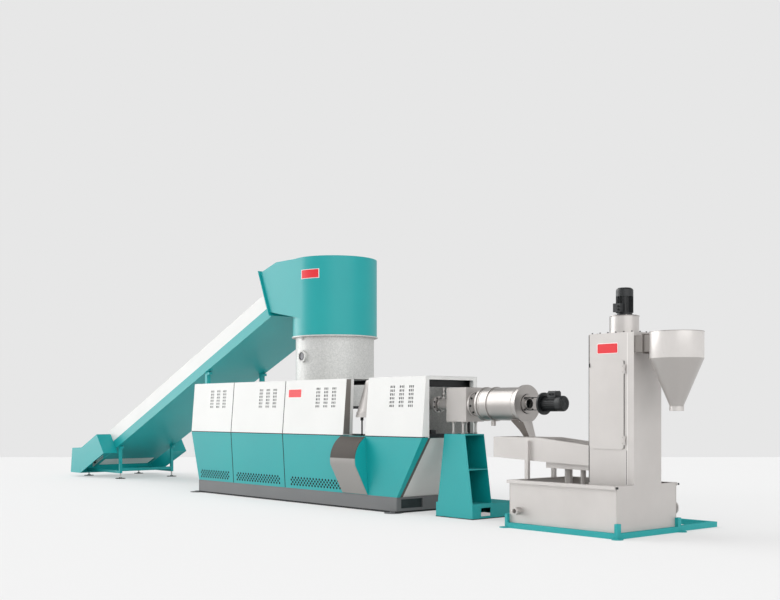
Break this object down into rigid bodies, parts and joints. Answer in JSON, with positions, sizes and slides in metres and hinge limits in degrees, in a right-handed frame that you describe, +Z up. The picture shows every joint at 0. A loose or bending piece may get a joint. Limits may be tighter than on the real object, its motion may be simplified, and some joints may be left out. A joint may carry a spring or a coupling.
{
  "type": "cutter compactor plastics recycling line",
  "caption": "Plastics recycling line: belt conveyor with hopper, cutter compactor drum, extruder in covers, screen changer, pelletizer, water tank and pellet dryer with cyclone.",
  "frame": {"origin": "on the compactor drum's vertical axis at floor level, the underside of the compactor frame's base plate", "axes": "+X along the line from the conveyor to the dryer, +Y away from the service side, +Z up"},
  "size_m": [16.784, 2.71, 4.188],
  "materials": {
    "teal_paint": "satin powder coat",
    "white_paint": "satin powder coat",
    "grey_paint": "satin paint",
    "galvanised": "spangled zinc",
    "stainless": "brushed",
    "motor_paint": "satin black",
    "belt_fabric": "matt coated belt",
    "sight_glass": "clear"
  },
  "bodies": {
    "root": {"casing_lid": "teal_paint", "changer_stand": "teal_paint", "changer_studs": "stainless", "compactor_casing": "teal_paint", "compactor_frame": "motor_paint", "compactor_motor": "motor_paint", "cone_rods": "motor_paint", "conveyor_belt": "belt_fabric", "conveyor_boards": "white_paint", "conveyor_channels": "teal_paint", "conveyor_legs": "teal_paint", "conveyor_pan": "teal_paint", "conveyor_rollers": "stainless", "cutter_drum": "galvanised", "cutter_end_plate": "stainless", "cutter_housing": "stainless", "cutter_motor": "motor_paint", "cyclone": "stainless", "cyclone_duct": "stainless", "die_adapter": "stainless", "door_hinges": "stainless", "dryer_motor": "motor_paint", "dryer_tower": "stainless", "end_frame": "white_paint", "end_panel": "stainless", "extruder_barrel": "stainless", "feed_cone": "stainless", "hood_cheeks": "teal_paint", "housing_frame": "galvanised", "inner_frames": "motor_paint", "levelling_feet": "stainless", "loading_hopper": "teal_paint", "lower_cover_1": "teal_paint", "lower_cover_2": "teal_paint", "lower_cover_3": "teal_paint", "lower_cover_4": "teal_paint", "motor_pedestal": "stainless", "motor_yoke": "stainless", "mouth_flange": "teal_paint", "pellet_chute": "stainless", "pellet_tray": "stainless", "plinth": "grey_paint", "plinth_feet": "grey_paint", "rear_lower_covers": "teal_paint", "rear_upper_covers": "white_paint", "roof_covers": "white_paint", "screen_changer": "stainless", "side_hood": "stainless", "sight_pane": "sight_glass", "sight_ring": "galvanised", "stand_base": "teal_paint", "tank_frame": "teal_paint", "tower_lid": "stainless", "tray_supports": "stainless", "upper_cover_1": "white_paint", "upper_cover_2": "white_paint", "upper_cover_3": "white_paint", "upper_cover_4": "white_paint", "water_tank": "stainless"},
    "tower_door": {"tower_door": "stainless"}
  },
  "joints": [
    {"name": "tower_door_hinge", "type": "hinge", "parent": "root", "child": "tower_door", "pos_m": [7.234, -1.2175, 1.58], "axis": [0, 0, 1], "range_deg": [0, 110]}
  ]
}
